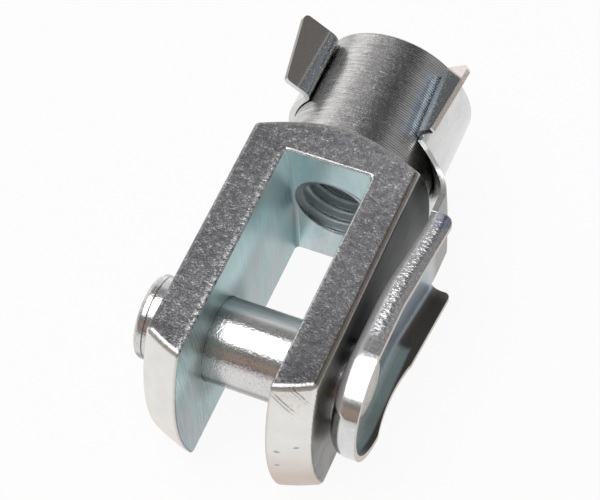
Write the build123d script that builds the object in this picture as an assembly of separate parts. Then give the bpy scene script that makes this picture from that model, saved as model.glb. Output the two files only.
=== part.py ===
from build123d import *
import os
from math import cos, radians, sin, sqrt, tan

# Fork head 10 x 20 with an M10 thread and its spring-clip pin: three steel pieces, in millimetres.
# The origin is where the pin's axis crosses the rod's axis. X runs along the pin, with the clip
# on +X, Y along the rod towards the threaded neck, and Z up through the bar's two flat faces.
# The fork lies on its flat face, with the clip snapped round the neck.

# --- Fork, turned and milled from square bar ---
BAR_WIDTH = 20.0            # across the flats of the square bar
BAR_CORNER = 0.7            # rounding along the bar's four long edges
SLOT_WIDTH = 10.5           # gap between the two ears
SLOT_DEPTH = 20.0           # pin axis to the slot's bottom, at the bar's flat faces
SLOT_CUTTER_RADIUS = 85.0   # disc cutter that leaves the slot's bottom hollow
SLOT_CORNER = 0.5           # milled corners at the slot's bottom
SLOT_EDGE = 0.25            # rounded edges of the slot on the bar's flat faces
EAR_REACH = 12.3            # pin axis to the pole of the domed ear ends
EAR_DOME_RADIUS = 22.5      # dome across both ear ends
EAR_DOME_DROP = 1.3         # the dome's axis lies this far below the bar's
EAR_CREST = 0.9             # rounding where the dome meets the flats
NECK_TO_BAR = 0.9           # neck diameter as a share of the bar's width
NECK_LENGTH = 40.0          # pin axis to the neck's end face
NECK_EDGE = 0.3             # chamfer on the neck's end
SHOULDER_START = 25.5       # pin axis to where the cone meets the neck
SHOULDER_ANGLE = 33.0       # fall of the turned cone from neck to flats, in degrees
SHOULDER_EDGE = 0.35        # rounding where the cone meets the flats
THREAD_DIAMETER = 10.0      # root diameter of the M10 thread, its ridges left out
THREAD_MOUTH = 0.5          # countersink at the neck's end

# --- Pin, riveted into the clip ---
PIN_DIAMETER = 9.94
PIN_CLEARANCE = 0.05        # running gap between pin and ear, all round
PIN_OVERHANG = 3.8          # free end past the ear
PIN_RIM_LENGTH = 0.8        # rounded rim at the free end, along the pin
PIN_RIM_DEPTH = 0.57        # and towards its axis
PIN_GROOVE_SETBACK = 1.1    # fine turned groove, from the free end
PIN_GROOVE_WIDTH = 0.2
PIN_GROOVE_DEPTH = 0.08
RIVET_NECK_DIAMETER = 5.0   # spigot through the clip's web
RIVET_HEAD_DIAMETER = 7.2
RIVET_HEAD_HEIGHT = 1.2
RIVET_HEAD_EDGE = 0.5

# --- Spring clip, pressed from one piece of sheet ---
SHEET = 0.7
WEB_GAP = 0.68              # ear to the clip's web, round the pin
WEB_RISE = 1.3              # the web climbs this much further from the ear
WEB_RISE_START = 9.0        # pin axis to where the climb starts
WEB_RISE_END = 19.0         # and to where it ends
WEB_ROUND = 14.0            # large bends of the web at both ends of the climb
DISH_RADIUS = 7.85          # round end of the tray about the pin
FLANGE_TAPER = 1.6          # sides of the tray close in by this, in degrees
FRONT_FLANGE_END = 19.8     # pin axis to the front flange's end
BACK_FLANGE_END = 18.4      # and to the back flange's end
TRAY_BEND = 2.0             # outer bend between web and flanges
FLANGE_HEIGHT = 3.35        # web's inner face to the flanges' free edge, round the pin
EDGE_RISE = 1.12            # the free edge climbs this much by the open end
EDGE_RISE_START = 7         # and starts to climb here
FRONT_FLANGE_CORNER = 1.2   # rounded corner of the front flange's end
BACK_FLANGE_CORNER = 0.6    # and of the back flange's end
DIP_DEPTH = 0.55            # shallow dip in the back flange's edge, for a fingertip
DIP_START = -1.6            # pin axis to the dip's two ends
DIP_END = 8.0
STRIP_WIDTH = 12.0          # strip between tray and collar
STRIP_BEND = 23.2           # pin axis to where the strip turns in to the neck
FOOT_EASE = 1.5             # how late the foot's two edges turn in
FOOT_SECTIONS = 6           # sections that the formed foot is lofted through
COLLAR_CLEARANCE = 0.12     # collar to neck, all round
COLLAR_START = 29.0         # pin axis to the collar's lower edge, on the strip's side
COLLAR_SLANT = 3.2          # that edge rises towards the other arm, in degrees
COLLAR_END = 38.8           # and to its upper edge
COLLAR_GRIP = 40.0          # the collar's arms reach this far above the pin plane, in degrees
RIGHT_LIP_START = 29.4      # pin axis to the lower end of the lip on the strip's side
LEFT_LIP_START = 29.8       # and of the thumb lip on the other arm
LIP_END = 38.35             # and to their upper end
LIP_TOP_BEND = 1.3          # bend radius at the upper end, middle of the sheet
LIP_FOOT_BEND = 0.7         # and at the lower end
LIP_TURN = 95.0             # the lips turn out by this, in degrees
RIGHT_LIP_TOP = 2.95        # straight length of the lip on the strip's side
RIGHT_LIP_FOOT = 1.5
LEFT_LIP_TOP = 4.0          # and of the thumb lip
LEFT_LIP_FOOT = 2.7
LIP_CORNER = 0.6            # rounded corners of both lips

# --- Places that follow from the sizes ---
HALF_BAR = BAR_WIDTH / 2
NECK_RADIUS = NECK_TO_BAR * BAR_WIDTH / 2
PIN_RADIUS = PIN_DIAMETER / 2
WEB_FACE = HALF_BAR + WEB_GAP
STRIP_FACE = WEB_FACE + WEB_RISE
COLLAR_INNER = NECK_RADIUS + COLLAR_CLEARANCE
COLLAR_OUTER = COLLAR_INNER + SHEET
COLLAR_MIDDLE = COLLAR_INNER + SHEET / 2
OVERCUT = 5.0               # how far cutting tools run past what they cut


def turned_bar():
    """Square bar with domed ear ends and the cone that the lathe leaves towards the neck."""
    reach = BAR_WIDTH * 0.75
    cone_edge = SHOULDER_START - (reach - NECK_RADIUS) * tan(radians(SHOULDER_ANGLE))
    outline = Polyline(
        (0, -EAR_REACH),
        (reach, -EAR_REACH),
        (reach, cone_edge),
        (NECK_RADIUS, SHOULDER_START),
        (0, SHOULDER_START),
        (0, -EAR_REACH),
    )
    turned = revolve(make_face(outline.edges()), Axis.Y)
    dome = Pos(0, EAR_DOME_RADIUS - EAR_REACH, -EAR_DOME_DROP) * Sphere(EAR_DOME_RADIUS)
    bar = Box(BAR_WIDTH, EAR_REACH + SHOULDER_START, BAR_WIDTH)
    bar = Pos(0, (SHOULDER_START - EAR_REACH) / 2, 0) * bar
    bar = fillet(bar.edges().filter_by(Axis.Y), BAR_CORNER)
    body = bar & turned & dome
    dome_rim = body.faces().filter_by(GeomType.SPHERE).edges()
    body = fillet(dome_rim, EAR_CREST)
    cone = body.faces().filter_by(GeomType.CONE)
    cone_rim = cone.edges().filter_by(lambda edge: edge.center().Y < SHOULDER_START - EAR_CREST)
    return fillet(cone_rim, SHOULDER_EDGE)


def slot_tool():
    """Disc cutter's path for the slot: open at the ears, round-cornered at its hollow bottom."""
    near = -EAR_REACH - OVERCUT
    reach = HALF_BAR + OVERCUT
    centre = SLOT_DEPTH - sqrt(SLOT_CUTTER_RADIUS**2 - HALF_BAR**2)
    far = centre + sqrt(SLOT_CUTTER_RADIUS**2 - reach**2)
    bottom = ThreePointArc((far, reach), (centre + SLOT_CUTTER_RADIUS, 0), (far, -reach))
    rest = Polyline((far, -reach), (near, -reach), (near, reach), (far, reach))
    profile = Plane.YZ * make_face([bottom] + list(rest.edges()))
    tool = extrude(profile, SLOT_WIDTH / 2, both=True)
    end = tool.faces().filter_by(GeomType.CYLINDER)
    return fillet(end.edges().filter_by(GeomType.CIRCLE), SLOT_CORNER)


def make_fork():
    """Fork: two ears, slot, cross bore for the pin and threaded neck, in one piece."""
    neck_span = NECK_LENGTH - SLOT_DEPTH
    neck = Cylinder(NECK_RADIUS, neck_span, rotation=(90, 0, 0))
    neck = Pos(0, SLOT_DEPTH + neck_span / 2, 0) * neck
    end_edge = neck.faces().sort_by(Axis.Y)[-1].edges()
    neck = chamfer(end_edge, NECK_EDGE)
    fork = turned_bar() + neck - slot_tool()
    slot_edges = fork.edges().filter_by(
        lambda edge: abs(abs(edge.center().Z) - HALF_BAR) < 0.01
        and abs(edge.center().X) < SLOT_WIDTH / 2 + 0.01
        and edge.center().Y > -EAR_REACH / 2
        and edge.bounding_box().max.Y < SLOT_DEPTH + 0.01
    )
    fork = fillet(slot_edges, SLOT_EDGE)
    bore = Cylinder(PIN_RADIUS + PIN_CLEARANCE, BAR_WIDTH + 2 * OVERCUT, rotation=(0, 90, 0))
    thread_span = NECK_LENGTH - SLOT_DEPTH + OVERCUT
    thread = Cylinder(THREAD_DIAMETER / 2, thread_span, rotation=(90, 0, 0))
    thread = Pos(0, NECK_LENGTH - thread_span / 2, 0) * thread
    fork = fork - bore - thread
    mouth = fork.faces().sort_by(Axis.Y)[-1].edges().sort_by(SortBy.LENGTH)[0]
    return chamfer(mouth, THREAD_MOUTH)


def tray_outline(inset):
    """Plan of the tray: a round end about the pin and two sides that close in a little."""
    radius = DISH_RADIUS - inset
    taper = radians(FLANGE_TAPER)
    start = (radius * sin(taper), radius * cos(taper))
    far = FRONT_FLANGE_END + OVERCUT
    half_width = start[1] - (far - start[0]) * tan(taper)
    round_end = ThreePointArc(start, (-radius, 0), (start[0], -start[1]))
    sides = Polyline((start[0], -start[1]), (far, -half_width), (far, half_width), start)
    return Plane.YZ * make_face([round_end] + list(sides.edges()))


def above_web(offset):
    """Everything outwards of the web's inner face, or of a face parallel to it."""
    foot = -DISH_RADIUS - OVERCUT
    face = FilletPolyline(
        (WEB_FACE + offset, foot),
        (WEB_FACE + offset, WEB_RISE_START),
        (STRIP_FACE + offset, WEB_RISE_END),
        (STRIP_FACE + offset, NECK_LENGTH),
        radius=WEB_ROUND,
    )
    far = STRIP_FACE + offset + FLANGE_HEIGHT + OVERCUT
    rest = Polyline(face @ 1, (far, NECK_LENGTH), (far, foot), face @ 0)
    region = make_face(list(face.edges()) + list(rest.edges()))
    return extrude(region, DISH_RADIUS + OVERCUT, both=True)


def past_free_edge():
    """Everything outwards of the flanges' free edge."""
    foot = -DISH_RADIUS - OVERCUT
    level = WEB_FACE + FLANGE_HEIGHT
    slope = EDGE_RISE / (FRONT_FLANGE_END - EDGE_RISE_START)
    top = level + (NECK_LENGTH - EDGE_RISE_START) * slope
    region = Polyline(
        (level, foot),
        (level, EDGE_RISE_START),
        (top, NECK_LENGTH),
        (top + OVERCUT, NECK_LENGTH),
        (top + OVERCUT, foot),
        close=True,
    )
    return extrude(make_face(region), DISH_RADIUS + OVERCUT, both=True)


def tray_block(inset):
    """Solid inside the tray's outline at this inset, with its floor edge bent round."""
    block = extrude(tray_outline(inset), STRIP_FACE + FLANGE_HEIGHT + OVERCUT) & above_web(inset)
    floor = block.edges().filter_by(lambda edge: edge.center().X < STRIP_FACE + inset + 0.01)
    bent = floor.filter_by(lambda edge: edge.center().Y < FRONT_FLANGE_END + OVERCUT - 0.01)
    bent = bent.filter_by(lambda edge: abs(edge.center().Z) > 0.01 or edge.center().Y < 0)
    return fillet(bent, TRAY_BEND - inset)


def dip_tool():
    """Shallow round cut in the back flange's free edge."""
    free_edge = WEB_FACE + FLANGE_HEIGHT
    middle = (DIP_START + DIP_END) / 2
    dip = ThreePointArc(
        (free_edge, DIP_START),
        (free_edge - DIP_DEPTH, middle),
        (free_edge, DIP_END),
    )
    above = free_edge + OVERCUT
    rest = Polyline(dip @ 1, (above, DIP_END), (above, DIP_START), dip @ 0)
    profile = make_face([dip] + list(rest.edges()))
    return extrude(profile, -DISH_RADIUS - OVERCUT)


def past_flange(end, side):
    """Everything past one flange's end, with the side +1 in front and -1 behind."""
    block = Box(
        4 * STRIP_FACE,
        4 * FRONT_FLANGE_END,
        4 * DISH_RADIUS,
        align=(Align.CENTER, Align.MIN, Align.MIN if side > 0 else Align.MAX),
    )
    return Pos(0, end, 0) * block


def flange_tip(tray, end):
    """Outermost edge across the flange that ends here."""
    across = tray.edges().filter_by(Axis.Z).filter_by_position(Axis.Y, end - 0.01, end + 0.01)
    return across.sort_by(Axis.X)[-1]


def make_tray():
    """Channel that carries the pin: web, two flanges and a dished round end."""
    tray = tray_block(0) - tray_block(SHEET) - dip_tool()
    tray = tray - past_free_edge()
    tray = tray - past_flange(FRONT_FLANGE_END, 1) - past_flange(BACK_FLANGE_END, -1)
    tray = fillet(flange_tip(tray, BACK_FLANGE_END), BACK_FLANGE_CORNER)
    return fillet(flange_tip(tray, FRONT_FLANGE_END), FRONT_FLANGE_CORNER)


def make_strip():
    """Flat strip that carries the web on past the flanges, up to its bend."""
    start = min(FRONT_FLANGE_END, BACK_FLANGE_END)
    sheet = above_web(0) - above_web(SHEET)
    width = Box(
        4 * STRIP_FACE,
        STRIP_BEND - start,
        STRIP_WIDTH,
        align=(Align.CENTER, Align.MIN, Align.CENTER),
    )
    strip = sheet & Pos(0, start, 0) * width
    return strip - (past_flange(start, 1) - past_flange(FRONT_FLANGE_END, 1))


def polar(radius, angle):
    """Point in the collar's section plane, with the angle in degrees from the pin plane."""
    return Vector(radius * cos(radians(angle)), 0, radius * sin(radians(angle)))


def foot_section(share):
    """Section of the sheet between strip and collar, flat at share 0 and round at share 1."""
    height = STRIP_BEND + share * (COLLAR_START - STRIP_BEND)
    edge_ease = share**FOOT_EASE
    middle_ease = share**2 * (3 - 2 * share)
    rows = (
        (STRIP_WIDTH / 2, COLLAR_GRIP, edge_ease),
        (0, 0, middle_ease),
        (-STRIP_WIDTH / 2, -COLLAR_GRIP, edge_ease),
    )
    inner = []
    outer = []
    for z, angle, ease in rows:
        flat = Vector(STRIP_FACE, 0, z)
        point = flat + (polar(COLLAR_INNER, angle) - flat) * ease
        inner.append(point)
        outer.append(point + polar(SHEET, angle * ease))
    if share:
        inner_edge = ThreePointArc(*inner)
        outer_edge = ThreePointArc(*outer[::-1])
    else:
        inner_edge = Line(inner[0], inner[2])
        outer_edge = Line(outer[2], outer[0])
    outline = [inner_edge, Line(inner[2], outer[2]), outer_edge, Line(outer[0], inner[0])]
    return Pos(0, height, 0) * Face(Wire(outline))


def make_foot():
    """Formed sheet that turns in from the strip and rounds itself into the collar."""
    last = FOOT_SECTIONS - 1
    return loft([foot_section(step / last) for step in range(FOOT_SECTIONS)])


def make_collar():
    """Open ring that snaps round the neck from behind."""
    length = COLLAR_END - COLLAR_START
    ring = Cylinder(COLLAR_OUTER, length) - Cylinder(COLLAR_INNER, length)
    ring = Pos(0, COLLAR_START + length / 2, 0) * Rot(90, 0, 0) * ring
    reach = 2 * COLLAR_OUTER
    gap = Polyline(
        (0, 0, 0),
        polar(reach, COLLAR_GRIP),
        (0, 0, 2 * reach),
        polar(reach, 180 - COLLAR_GRIP),
        (0, 0, 0),
    )
    ring = ring - extrude(make_face(gap.edges()), NECK_LENGTH + OVERCUT, dir=(0, 1, 0))
    slant = Box(2 * reach, reach, 2 * reach, align=(Align.MAX, Align.MAX, Align.CENTER))
    arm = polar(COLLAR_INNER, COLLAR_GRIP).X
    return ring - Pos(arm, COLLAR_START, 0) * Rot(0, 0, -COLLAR_SLANT) * slant


def lip_section(height, bend, length):
    """Section of a lip: out of the collar's arm, round a bend, then straight to its edge."""
    centre = polar(COLLAR_MIDDLE + bend, COLLAR_GRIP)
    start_angle = COLLAR_GRIP + 180
    end_angle = start_angle - LIP_TURN
    straight = polar(length, end_angle - 90)
    rows = []
    for radius in (bend + SHEET / 2, bend - SHEET / 2):
        start = centre + polar(radius, start_angle)
        middle = centre + polar(radius, (start_angle + end_angle) / 2)
        end = centre + polar(radius, end_angle)
        rows.append((start, middle, end, end + straight))
    near, far = rows
    outline = [
        ThreePointArc(*near[:3]),
        Line(near[2], near[3]),
        Line(near[3], far[3]),
        Line(far[3], far[2]),
        ThreePointArc(*far[2::-1]),
        Line(far[0], near[0]),
    ]
    return Pos(0, height, 0) * Face(Wire(outline))


def make_lip(start, foot_length, top_length):
    """Lip on the strip's side, longer and more open towards the neck's end."""
    foot = lip_section(start, LIP_FOOT_BEND, foot_length)
    top = lip_section(LIP_END, LIP_TOP_BEND, top_length)
    lip = loft([foot, top], ruled=True)
    tip = polar(1, COLLAR_GRIP + 90 - LIP_TURN)
    across = lip.edges().filter_by(lambda edge: abs(edge.length - SHEET) < 0.01)
    corners = across.sort_by(lambda edge: edge.center().dot(tip))
    upper = corners.filter_by_position(Axis.Y, LIP_END - 0.01, LIP_END + 0.01)[-1]
    lower = corners.filter_by_position(Axis.Y, start - 0.01, start + 0.01)[-1]
    return fillet([upper, lower], LIP_CORNER)


def make_clip():
    """Spring clip in one piece: tray, strip, foot, collar and its two lips."""
    clip = make_tray() + make_strip() + make_foot() + make_collar()
    clip = clip + make_lip(RIGHT_LIP_START, RIGHT_LIP_FOOT, RIGHT_LIP_TOP)
    thumb_lip = make_lip(LEFT_LIP_START, LEFT_LIP_FOOT, LEFT_LIP_TOP)
    clip = clip + mirror(thumb_lip, Plane.YZ)
    hole = Cylinder(RIVET_NECK_DIAMETER / 2, 2 * OVERCUT, rotation=(0, 90, 0))
    return clip - Pos(WEB_FACE, 0, 0) * hole


def make_pin():
    """Pin turned in one piece, with its riveted head closed over the clip's web."""
    free_end = -HALF_BAR - PIN_OVERHANG
    rim = free_end + PIN_RIM_LENGTH
    groove = free_end + PIN_GROOVE_SETBACK
    head = WEB_FACE + SHEET
    end_face = PIN_RADIUS - PIN_RIM_DEPTH
    rounded = ThreePointArc(
        (free_end, end_face),
        (free_end + PIN_RIM_LENGTH * (1 - sqrt(0.5)), end_face + PIN_RIM_DEPTH * sqrt(0.5)),
        (rim, PIN_RADIUS),
    )
    rest = Polyline(
        (rim, PIN_RADIUS),
        (groove, PIN_RADIUS),
        (groove + PIN_GROOVE_WIDTH / 2, PIN_RADIUS - PIN_GROOVE_DEPTH),
        (groove + PIN_GROOVE_WIDTH, PIN_RADIUS),
        (WEB_FACE, PIN_RADIUS),
        (WEB_FACE, RIVET_NECK_DIAMETER / 2),
        (head, RIVET_NECK_DIAMETER / 2),
        (head, RIVET_HEAD_DIAMETER / 2),
        (head + RIVET_HEAD_HEIGHT, RIVET_HEAD_DIAMETER / 2),
        (head + RIVET_HEAD_HEIGHT, 0),
        (free_end, 0),
        (free_end, end_face),
    )
    pin = revolve(make_face([rounded] + list(rest.edges())), Axis.X)
    head_rim = pin.edges().filter_by(GeomType.CIRCLE).sort_by(Axis.X)[-1]
    return fillet(head_rim, RIVET_HEAD_EDGE)


if __name__ == "__main__":
    os.makedirs("parts", exist_ok=True)
    export_step(make_fork(), "parts/fork_body.step")
    export_step(make_pin(), "parts/clevis_pin.step")
    export_step(make_clip(), "parts/spring_clip.step")
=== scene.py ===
"""Look of a steel fork head with its spring-clip pin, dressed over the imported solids.

Lengths in the shader expressions are millimetres in the part's frame: X along the pin, Y along
the rod out of the neck, Z up from the face that the part lies on.
"""

import logging
import math
from dataclasses import dataclass
from enum import Enum
from typing import Any

import bpy
import numpy as np
from mathutils import Matrix, Vector


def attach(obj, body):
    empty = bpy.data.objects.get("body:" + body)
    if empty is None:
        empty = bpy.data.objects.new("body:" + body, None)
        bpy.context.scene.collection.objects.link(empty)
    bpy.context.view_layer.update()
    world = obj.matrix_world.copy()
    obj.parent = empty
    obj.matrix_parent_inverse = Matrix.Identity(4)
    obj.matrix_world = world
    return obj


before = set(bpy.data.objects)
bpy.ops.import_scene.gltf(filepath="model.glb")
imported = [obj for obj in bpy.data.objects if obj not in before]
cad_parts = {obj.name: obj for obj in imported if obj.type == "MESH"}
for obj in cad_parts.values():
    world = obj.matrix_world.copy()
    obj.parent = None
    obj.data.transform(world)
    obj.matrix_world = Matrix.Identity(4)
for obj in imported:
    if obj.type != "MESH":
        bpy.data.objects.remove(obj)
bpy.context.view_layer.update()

LOG = logging.getLogger("fork_head")
MM = 0.001

Colour = tuple[float, float, float]
Paint = Colour | bpy.types.NodeSocket
Way = tuple[float, float, float]


class Operation(Enum):
    """What a Math node can do, as far as the finishes need it."""

    ADD = "ADD"
    SUBTRACT = "SUBTRACT"
    MULTIPLY = "MULTIPLY"
    POWER = "POWER"
    ABSOLUTE = "ABSOLUTE"
    LARGEST = "MAXIMUM"
    SMALLEST = "MINIMUM"
    SINE = "SINE"


class Signal:
    """A number that varies over a surface: an output socket whose arithmetic adds Math nodes."""

    def __init__(self, graph: "Graph", socket: bpy.types.NodeSocket) -> None:
        """Keeps the graph that the socket belongs to."""
        self.graph = graph
        self.socket = socket

    def __add__(self, other: "Signal | float") -> "Signal":
        """Sum."""
        return self.graph.math(Operation.ADD, self, other)

    __radd__ = __add__

    def __sub__(self, other: "Signal | float") -> "Signal":
        """Difference."""
        return self.graph.math(Operation.SUBTRACT, self, other)

    def __rsub__(self, other: float) -> "Signal":
        """Reflected difference."""
        return self.graph.math(Operation.SUBTRACT, other, self)

    def __mul__(self, other: "Signal | float") -> "Signal":
        """Product."""
        return self.graph.math(Operation.MULTIPLY, self, other)

    __rmul__ = __mul__

    def __pow__(self, other: "Signal | float") -> "Signal":
        """Power."""
        return self.graph.math(Operation.POWER, self, other)

    def __abs__(self) -> "Signal":
        """Size without sign."""
        return self.graph.math(Operation.ABSOLUTE, self)

    def rise(self, low: float, high: float) -> "Signal":
        """Smooth step.

        Args:
            low: Value where the step is still 0.
            high: Value where it has reached 1; it may be below low, and the step then falls.

        Returns:
            A signal from 0 to 1.
        """
        if low > high:
            return 1.0 - self.rise(high, low)
        node = self.graph.node(
            "ShaderNodeMapRange",
            {"interpolation_type": "SMOOTHSTEP"},
            {"Value": self, "From Min": low, "From Max": high},
        )
        return Signal(self.graph, node.outputs["Result"])

    def band(self, centre: float, half: float, soft: float) -> "Signal":
        """Band round a value.

        Args:
            centre: Middle of the band.
            half: Half its width.
            soft: Width of its soft sides.

        Returns:
            1 inside the band and 0 outside.
        """
        return abs(self - centre).rise(half + soft, half)


class Graph:
    """Shader nodes of one material or world."""

    def __init__(self, tree: bpy.types.NodeTree) -> None:
        """Starts from an empty tree."""
        self.tree = tree
        tree.nodes.clear()

    def node(
        self,
        kind: str,
        settings: dict[str, Any] | None = None,
        values: dict[str | int, Any] | None = None,
    ) -> bpy.types.Node:
        """Adds one node.

        Args:
            kind: Blender's name for the node's type.
            settings: Attributes, set before anything else.
            values: Numbers, colours or links for its input sockets, by name or number.

        Returns:
            The new node.
        """
        made = self.tree.nodes.new(kind)
        for name, value in (settings or {}).items():
            setattr(made, name, value)
        for name, value in (values or {}).items():
            if isinstance(value, Signal):
                value = value.socket
            if isinstance(value, bpy.types.NodeSocket):
                self.tree.links.new(value, made.inputs[name])
            else:
                made.inputs[name].default_value = value
        return made

    def math(self, operation: Operation, *terms: Signal | float) -> Signal:
        """Adds a Math node.

        Args:
            operation: What the node does.
            terms: Signals or numbers for its inputs, in order.

        Returns:
            The node's value.
        """
        settings = {"operation": operation.value}
        made = self.node("ShaderNodeMath", settings, dict(enumerate(terms)))
        return Signal(self, made.outputs[0])

    def high(self, first: Signal | float, second: Signal | float) -> Signal:
        """Larger of two signals."""
        return self.math(Operation.LARGEST, first, second)

    def low(self, first: Signal | float, second: Signal | float) -> Signal:
        """Smaller of two signals."""
        return self.math(Operation.SMALLEST, first, second)

    def split(self, vector: bpy.types.NodeSocket) -> tuple[Signal, Signal, Signal]:
        """X, Y and Z of a vector."""
        made = self.node("ShaderNodeSeparateXYZ", None, {0: vector})
        return tuple(Signal(self, made.outputs[axis]) for axis in "XYZ")

    def point(self, x: Signal, y: Signal, z: Signal) -> bpy.types.NodeSocket:
        """Vector from three numbers."""
        return self.node("ShaderNodeCombineXYZ", None, {0: x, 1: y, 2: z}).outputs[0]

    def noise(
        self,
        where: bpy.types.NodeSocket,
        scale: float = 1.0,
        detail: float = 2.0,
        rough: float = 0.5,
        warp: float = 0.0,
    ) -> Signal:
        """Cloudy noise.

        Args:
            where: Place in millimetres.
            scale: Grains per millimetre.
            detail: Octaves.
            rough: Share kept by each finer octave.
            warp: How far the pattern is distorted.

        Returns:
            A signal round 0.5.
        """
        made = self.node(
            "ShaderNodeTexNoise",
            {"noise_dimensions": "3D"},
            {
                "Vector": where,
                "Scale": scale,
                "Detail": detail,
                "Roughness": rough,
                "Distortion": warp,
            },
        )
        return Signal(self, made.outputs[0])

    def blend(self, first: Paint, second: Paint, share: Signal) -> bpy.types.NodeSocket:
        """Mixes two colours.

        Args:
            first: Colour at share 0, plain or a socket.
            second: Colour at share 1, plain or a socket.
            share: How much of the second.

        Returns:
            The mixed colour's socket.
        """
        ends = [
            end if isinstance(end, bpy.types.NodeSocket) else (*end, 1.0)
            for end in (first, second)
        ]
        made = self.node(
            "ShaderNodeMix", {"data_type": "RGBA"}, {0: share, 6: ends[0], 7: ends[1]}
        )
        return made.outputs[2]

    def coats(self, colour: Paint, *tops: tuple[Paint, Signal]) -> Paint:
        """Lays colours over one another.

        Args:
            colour: Colour at the bottom.
            tops: Each colour over those before it, and how much of it shows.

        Returns:
            The mixed colour's socket.
        """
        for top, share in tops:
            colour = self.blend(colour, top, share)
        return colour

    def shade(self, colour: Paint, gain: Signal) -> bpy.types.NodeSocket:
        """Brightens or darkens a colour, plain or a socket, by a signal."""
        return self.node(
            "ShaderNodeVectorMath", {"operation": "SCALE"}, {0: colour, "Scale": gain}
        ).outputs[0]


@dataclass
class Skin:
    """What a finish says about a surface.

    Attributes:
        colour: Reflected colour.
        roughness: Roughness.
        height: Relief in millimetres.
        metal: 1 for bare shine, less where the plate is matt.
    """

    colour: Paint
    roughness: Signal | float
    height: Signal | float
    metal: Signal | float = 1.0

    def under(self, top: "Skin", where: Signal) -> "Skin":
        """Lays another skin over this one.

        Args:
            top: The skin on top.
            where: 1 where the top one shows and 0 where this one does.

        Returns:
            The mixed skin.
        """
        return Skin(
            where.graph.blend(self.colour, top.colour, where),
            self.roughness + (top.roughness - self.roughness) * where,
            self.height + (top.height - self.height) * where,
            self.metal + (top.metal - self.metal) * where,
        )


class Spot:
    """Place and facing of a point on a piece, with the noises that its skins share.

    Attributes:
        graph: Nodes of the piece's material.
        x, y, z: Place in millimetres.
        nx, ny, nz: Direction that the surface faces.
        side: Distance from the middle plane of the slot.
        radius: Distance from the rod's axis.
        cloud, ragged, grain, frost: Noises, from broad to fine.
    """

    def __init__(self, graph: Graph) -> None:
        """Adds the nodes that the skins start from.

        Args:
            graph: Nodes of the piece's material.
        """
        self.graph = graph
        coords = graph.node("ShaderNodeTexCoord")
        place = graph.node(
            "ShaderNodeVectorMath",
            {"operation": "SCALE"},
            {0: coords.outputs["Object"], "Scale": 1.0 / MM},
        ).outputs[0]
        self.x, self.y, self.z = graph.split(place)
        self.nx, self.ny, self.nz = graph.split(coords.outputs["Normal"])
        self.side = abs(self.x)
        self.radius = (self.x * self.x + self.z * self.z) ** 0.5
        self.cloud = graph.noise(place, 0.4, detail=3.0)
        self.grain = graph.noise(place, 3.2, detail=3.0, rough=0.6)
        self.frost = graph.noise(place, 4.6, detail=1.0, warp=0.5)
        self.ragged = graph.noise(place, 2.2, rough=0.6)

    def noise(
        self, x: float, y: float, z: float, detail: float = 2.0, rough: float = 0.5
    ) -> Signal:
        """Noise with its own number of grains per millimetre along each axis."""
        where = self.graph.point(self.x * x, self.y * y, self.z * z)
        return self.graph.noise(where, detail=detail, rough=rough)


@dataclass(frozen=True)
class Finish:
    """Zinc plate with a thin blue passivation, over steel.

    Attributes:
        name: Material name.
    """

    name: str

    def skin(self, spot: Spot) -> Skin:
        """Colour, roughness and relief over the piece."""
        raise NotImplementedError

    def make(self) -> bpy.types.Material:
        """Builds the material.

        Returns:
            The new material.
        """
        material = bpy.data.materials.new(self.name)
        material.use_nodes = True
        graph = Graph(material.node_tree)
        skin = self.skin(Spot(graph))
        bump = graph.node("ShaderNodeBump", None, {"Distance": MM, "Height": skin.height})
        shader = graph.node(
            "ShaderNodeBsdfPrincipled",
            None,
            {
                "Base Color": skin.colour,
                "Metallic": skin.metal,
                "Roughness": skin.roughness,
                "Normal": bump.outputs[0],
            },
        )
        graph.node("ShaderNodeOutputMaterial", None, {"Surface": shader.outputs[0]})
        return material


@dataclass(frozen=True)
class ForkSizes:
    """Sizes of the fork that its finishes and its thread follow.

    Attributes:
        half_bar: Half the bar's width.
        slot_half: Half the slot's width.
        slot_depth: Pin axis to the slot's bottom.
        cutter: Radius of the disc cutter that milled the slot.
        neck_radius: Radius of the neck, where the turned cone starts to fall.
        cone_fall: Fall of the cone along the rod for each millimetre further out.
        shoulder: Pin axis to the start of the neck.
        thread_root: Radius at the bottom of the thread's groove.
        thread_crest: Radius at the top of the thread's ridges.
    """

    half_bar: float = 10.0
    slot_half: float = 5.25
    slot_depth: float = 20.0
    cutter: float = 85.0
    neck_radius: float = 9.0
    cone_fall: float = 0.649
    shoulder: float = 25.5
    thread_root: float = 5.0
    thread_crest: float = 4.2


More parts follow.
